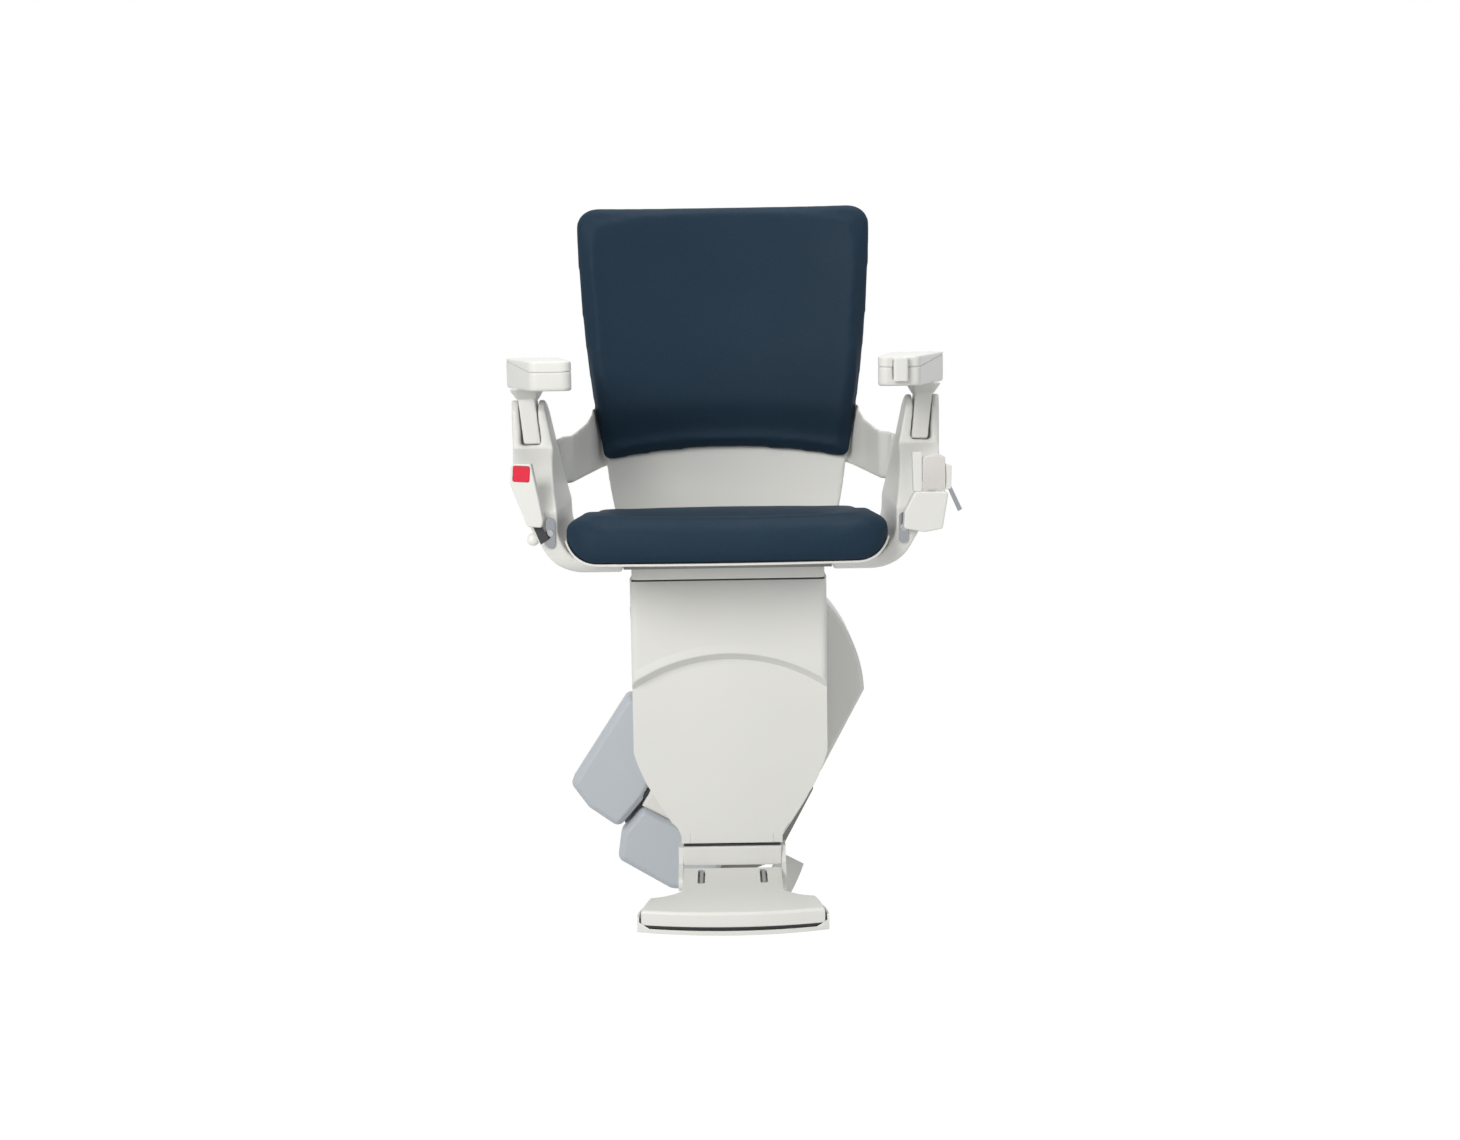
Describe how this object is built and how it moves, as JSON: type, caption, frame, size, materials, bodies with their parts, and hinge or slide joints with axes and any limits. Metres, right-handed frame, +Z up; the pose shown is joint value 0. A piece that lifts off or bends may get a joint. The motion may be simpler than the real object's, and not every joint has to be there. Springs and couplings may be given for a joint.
{
  "type": "stairlift chair",
  "caption": "Powered seat that rides an inclined twin-tube stair rail, with folding armrests, seat and footrest, a swivel, a lap belt and self-levelling column.",
  "frame": {"origin": "on the upper rail tube's axis, in the chair's centre plane", "axes": "+Z up, -Y towards a person facing the chair (the way the sitter looks), +X to that person's right, where the rail falls"},
  "size_m": [0.6678, 0.5437, 1.14],
  "materials": {
    "navy_upholstery": "soft grained vinyl",
    "beige_moulding": "fine satin moulding",
    "light_moulding": "fine satin moulding",
    "grey_cover": "fine satin moulding",
    "white_plastic": "smooth",
    "black_plastic": "satin",
    "red_button": "smooth",
    "belt_web": "woven",
    "chrome": "polished",
    "steel": "machined",
    "painted_frame": "powder coat",
    "black_metal": "powder coat",
    "slide_plastic": "smooth self-lubricating"
  },
  "bodies": {
    "carriage": {"upper_guide_shoe": "slide_plastic", "lower_guide_shoe": "slide_plastic", "roller_axles": "steel", "drive_gearbox": "black_metal", "drive_motor": "black_metal", "chassis_plate": "painted_frame", "battery_pack": "black_plastic", "carriage_housing": "beige_moulding", "housing_back_cover": "beige_moulding", "upper_guide_cover": "grey_cover", "lower_guide_cover": "grey_cover", "end_guide_cover": "beige_moulding", "pivot_shaft": "steel", "levelling_gear": "steel"},
    "roller_top_left": {"guide_roller_top_left": "slide_plastic"},
    "roller_top_right": {"guide_roller_top_right": "slide_plastic"},
    "roller_low_left": {"guide_roller_low_left": "slide_plastic"},
    "roller_low_right": {"guide_roller_low_right": "slide_plastic"},
    "drive_pinion": {"drive_pinion": "steel"},
    "column": {"pivot_bush": "slide_plastic", "column_frame": "painted_frame", "column_cover": "beige_moulding", "column_back_cover": "beige_moulding", "levelling_motor": "black_metal", "swivel_post": "painted_frame", "hinge_bar": "beige_moulding", "footrest_shaft": "steel"},
    "levelling_pinion": {"levelling_pinion": "steel"},
    "footrest": {"footplate": "light_moulding", "hinge_rods": "chrome"},
    "safety_pan": {"safety_pan": "beige_moulding"},
    "seat": {"swivel_housing": "beige_moulding", "swivel_hub": "painted_frame", "seat_base": "painted_frame", "arm_frame_left": "beige_moulding", "arm_frame_right": "beige_moulding", "back_shell": "beige_moulding", "back_cushion": "navy_upholstery", "belt_anchors": "chrome", "anchor_bolts": "steel", "buckle_stalk": "black_metal", "buckle_body": "light_moulding", "retractor_housing": "light_moulding", "belt_guide": "light_moulding", "belt_webbing": "belt_web", "belt_tongue": "chrome", "tongue_grip": "light_moulding", "lever_pin": "steel", "seat_hinge_pins": "steel", "armrest_pins": "steel"},
    "swivel_lever": {"swivel_lever": "steel", "lever_knob": "white_plastic"},
    "buckle_button": {"buckle_button": "red_button"},
    "seat_pan": {"seat_pan": "beige_moulding", "seat_cushion": "navy_upholstery"},
    "armrest_left": {"armrest_body_left": "beige_moulding", "armrest_cap_left": "light_moulding"},
    "armrest_right": {"armrest_body_right": "beige_moulding", "armrest_cap_right": "light_moulding"},
    "armrest_toggle": {"armrest_toggle": "light_moulding"}
  },
  "joints": [
    {"name": "roller_top_left_spin", "type": "hinge", "parent": "carriage", "child": "roller_top_left", "pos_m": [-0.1073, 0, 0.10015], "axis": [0, 1, 0], "continuous": true},
    {"name": "roller_top_right_spin", "type": "hinge", "parent": "carriage", "child": "roller_top_right", "pos_m": [0.08165, 0, -0.00032], "axis": [0, 1, 0], "continuous": true},
    {"name": "roller_low_left_spin", "type": "hinge", "parent": "carriage", "child": "roller_low_left", "pos_m": [-0.14303, 0, 0.03295], "axis": [0, 1, 0], "continuous": true},
    {"name": "roller_low_right_spin", "type": "hinge", "parent": "carriage", "child": "roller_low_right", "pos_m": [0.04592, 0, -0.06751], "axis": [0, 1, 0], "continuous": true},
    {"name": "drive_spin", "type": "hinge", "parent": "carriage", "child": "drive_pinion", "pos_m": [-0.18497, 0, 0.04353], "axis": [0, 1, 0], "continuous": true},
    {"name": "levelling_pivot", "type": "hinge", "parent": "carriage", "child": "column", "pos_m": [0, -0.103, 0.16989], "axis": [0, 1, 0], "range_deg": [-24, 28]},
    {"name": "levelling_pinion_spin", "type": "hinge", "parent": "column", "child": "levelling_pinion", "pos_m": [0, -0.125, 0.24514], "axis": [0, 1, 0], "range_deg": [-100, 116]},
    {"name": "footrest_hinge", "type": "hinge", "parent": "column", "child": "footrest", "pos_m": [0, -0.262, -0.076], "axis": [-1, 0, 0], "range_deg": [0, 90]},
    {"name": "safety_pan_lift", "type": "slide", "parent": "footrest", "child": "safety_pan", "axis": [0, 0, 1], "range_m": [0, 0.004], "stiffness_N_per_m": 400, "springref_m": -0.004},
    {"name": "seat_swivel", "type": "hinge", "parent": "column", "child": "seat", "pos_m": [0, -0.17, 0.393], "axis": [0, 0, 1], "range_deg": [-70, 70]},
    {"name": "swivel_lever_pivot", "type": "hinge", "parent": "seat", "child": "swivel_lever", "pos_m": [-0.256, -0.25, 0.442], "axis": [0, 1, 0], "range_deg": [-12, 12], "stiffness_Nm_per_rad": 0.2},
    {"name": "buckle_button_press", "type": "slide", "parent": "seat", "child": "buckle_button", "axis": [0, 1, 0], "range_m": [0, 0.0035], "stiffness_N_per_m": 300, "springref_m": -0.003},
    {"name": "seat_fold", "type": "hinge", "parent": "seat", "child": "seat_pan", "pos_m": [0, -0.031, 0.428], "axis": [-1, 0, 0], "range_deg": [0, 26]},
    {"name": "armrest_left_fold", "type": "hinge", "parent": "seat", "child": "armrest_left", "pos_m": [-0.28908, -0.165, 0.592], "axis": [-1, 0, 0], "range_deg": [0, 90]},
    {"name": "armrest_right_fold", "type": "hinge", "parent": "seat", "child": "armrest_right", "pos_m": [0.28908, -0.165, 0.592], "axis": [-1, 0, 0], "range_deg": [0, 90]},
    {"name": "armrest_toggle_tilt", "type": "hinge", "parent": "armrest_right", "child": "armrest_toggle", "pos_m": [0.2435, -0.349, 0.682], "axis": [0, 0, 1], "range_deg": [-9, 9], "stiffness_Nm_per_rad": 0.02}
  ],
  "couplings": [
    {"joint": "levelling_pinion_spin", "follows": "levelling_pivot", "ratio": 4}
  ]
}
